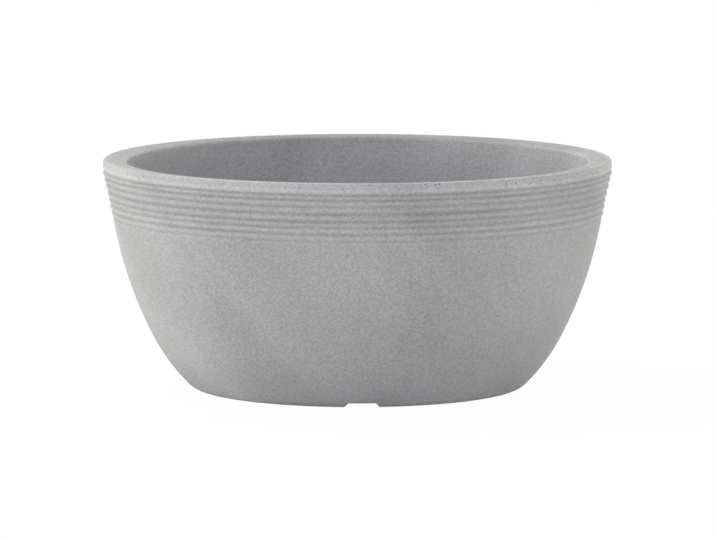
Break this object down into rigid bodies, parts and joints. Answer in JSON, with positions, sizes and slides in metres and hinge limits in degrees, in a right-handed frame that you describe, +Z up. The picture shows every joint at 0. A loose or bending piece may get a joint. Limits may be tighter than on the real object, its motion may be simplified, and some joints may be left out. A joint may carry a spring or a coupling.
{
  "type": "flower pot",
  "caption": "Wide round stone-look plastic flower pot with a thick rim, a ribbed band under it and a notched foot, a lift-out drainage grid and push-in drain plugs.",
  "frame": {"origin": "centre of the foot ring, on the plane that the pot stands on", "axes": "+Z up along the axis of the bowl; -Y towards the drain notch seen in the picture, +X to its right"},
  "size_m": [0.332, 0.332, 0.15],
  "materials": {
    "stone_look_plastic": "matte, fine sandy grain, cloudy grey",
    "dark_plastic": "matte moulded",
    "plug_rubber": "matte rubber"
  },
  "bodies": {
    "pot": {"bowl": "stone_look_plastic"},
    "grid": {"drainage_grid": "dark_plastic"},
    "plug_1": {"drain_plug_1": "plug_rubber"},
    "plug_2": {"drain_plug_2": "plug_rubber"},
    "plug_3": {"drain_plug_3": "plug_rubber"},
    "plug_4": {"drain_plug_4": "plug_rubber"}
  },
  "joints": [
    {"name": "grid_lift", "type": "slide", "parent": "pot", "child": "grid", "axis": [0, 0, 1], "range_m": [0, 0.14]},
    {"name": "plug_1_pull", "type": "slide", "parent": "pot", "child": "plug_1", "axis": [0, 0, -1], "range_m": [0, 0.03]},
    {"name": "plug_2_pull", "type": "slide", "parent": "pot", "child": "plug_2", "axis": [0, 0, -1], "range_m": [0, 0.03]},
    {"name": "plug_3_pull", "type": "slide", "parent": "pot", "child": "plug_3", "axis": [0, 0, -1], "range_m": [0, 0.03]},
    {"name": "plug_4_pull", "type": "slide", "parent": "pot", "child": "plug_4", "axis": [0, 0, -1], "range_m": [0, 0.03]}
  ]
}
